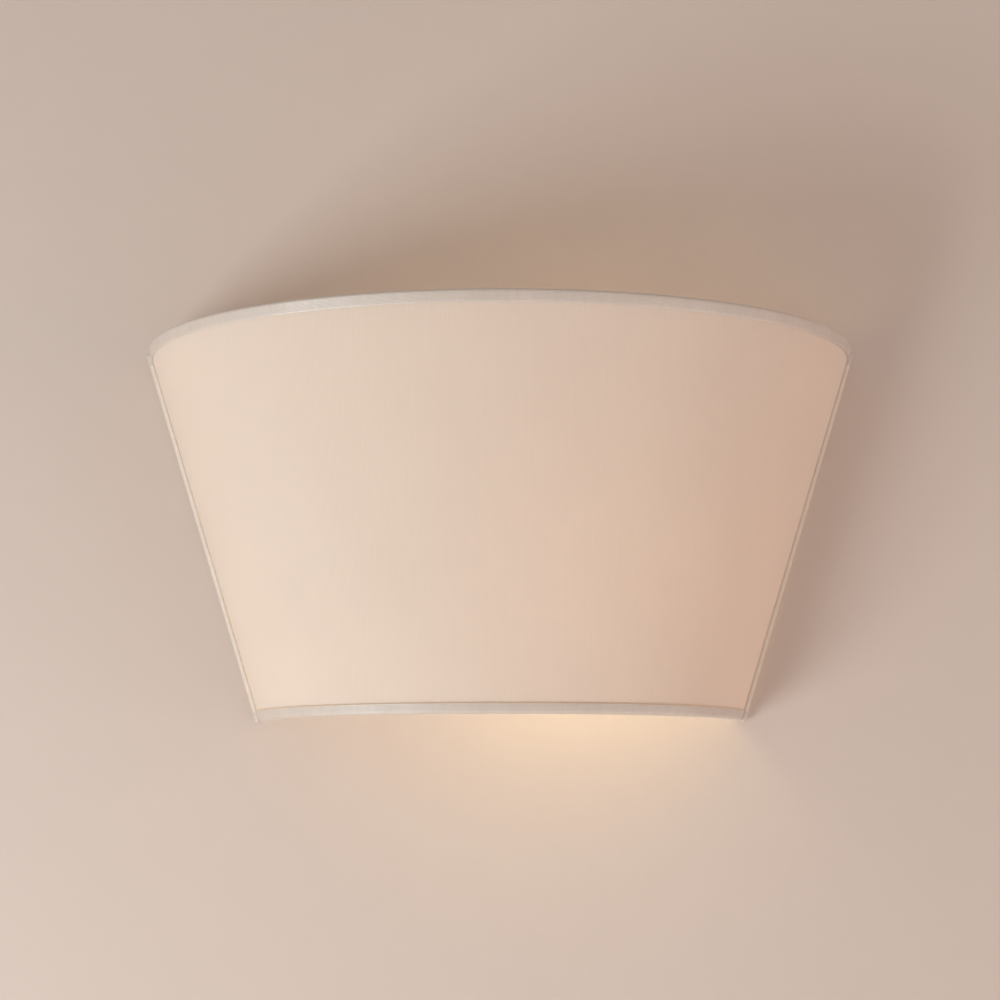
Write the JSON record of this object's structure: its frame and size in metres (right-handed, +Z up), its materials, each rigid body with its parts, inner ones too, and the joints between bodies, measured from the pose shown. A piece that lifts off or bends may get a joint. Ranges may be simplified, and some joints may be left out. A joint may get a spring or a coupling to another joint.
{
  "type": "fabric shade wall light",
  "caption": "Half-round wall light with a tapered white fabric shade that narrows downwards, satin tape round its rims, and a round lamp in a sideways lampholder on a steel pan.",
  "frame": {"origin": "Centre of the mounting bar's back face, on the wall plane.", "axes": "+Y goes into the wall, the front of the shade faces -Y, +X is to the viewer's right along the wall, +Z is up."},
  "size_m": [0.3522, 0.1305, 0.1813],
  "materials": {
    "shade_fabric": "fine ribbed white fabric, matt",
    "shade_lining": "stiff translucent lining, smooth and matt",
    "frame_wire": "white dip-coated steel wire, satin",
    "satin_tape": "satin bias tape, soft sheen",
    "edge_tape": "thin cotton edge tape, matt",
    "zinc_steel": "zinc-plated steel, satin",
    "pan_paint": "white powder coat, satin",
    "holder_plastic": "white thermoset plastic, satin",
    "holder_ceramic": "white ceramic, lightly glazed",
    "contact_brass": "bare brass, satin",
    "terminal_plastic": "translucent white plastic, satin",
    "grommet_rubber": "black rubber, matt",
    "live_insulation": "brown wire insulation, satin",
    "neutral_insulation": "blue wire insulation, satin",
    "earth_insulation": "green and yellow wire insulation, satin",
    "tinned_tag": "tinned metal, satin",
    "frosted_glass": "frosted lamp glass, lit from inside",
    "cap_nickel": "plated metal cap, satin",
    "cap_insulation": "black glass insulation, glossy",
    "solder": "solder, satin",
    "clear_glass": "clear glass, polished",
    "filament": "coiled wire, lit"
  },
  "bodies": {
    "fitting": {"mounting_bar": "zinc_steel", "back_cover": "pan_paint", "cover_screws": "zinc_steel", "holder_bracket": "pan_paint", "bracket_screws": "zinc_steel", "holder_cap": "holder_plastic", "holder_body": "holder_plastic", "holder_insulator": "holder_ceramic", "holder_shell": "contact_brass", "holder_contact": "contact_brass", "threaded_nipple": "zinc_steel", "nipple_locknut": "zinc_steel", "terminal_block": "terminal_plastic", "terminal_inserts": "contact_brass", "terminal_screws": "zinc_steel", "terminal_block_screw": "zinc_steel", "wire_grommet": "grommet_rubber", "live_wire": "live_insulation", "neutral_wire": "neutral_insulation", "earth_wire": "earth_insulation", "earth_screw": "zinc_steel", "earth_tag": "tinned_tag"},
    "shade": {"shade_fabric": "shade_fabric", "shade_lining": "shade_lining", "top_ring_wire": "frame_wire", "bottom_ring_wire": "frame_wire", "top_cross_wire": "frame_wire", "carrier_wire": "frame_wire", "side_wire_left": "frame_wire", "side_wire_right": "frame_wire", "top_trim": "satin_tape", "bottom_trim": "satin_tape", "side_trim_left": "edge_tape", "side_trim_right": "edge_tape"},
    "bulb": {"bulb_glass": "frosted_glass", "bulb_cap": "cap_nickel", "bulb_cap_insulator": "cap_insulation", "bulb_contact": "solder", "bulb_stem": "clear_glass", "bulb_filament": "filament"}
  },
  "joints": [
    {"name": "shade_lift", "type": "slide", "parent": "fitting", "child": "shade", "axis": [0, 0, 1], "range_m": [0, 0.15]},
    {"name": "bulb_unscrew", "type": "slide", "parent": "fitting", "child": "bulb", "axis": [1, 0, 0], "range_m": [0, 0.028]}
  ]
}
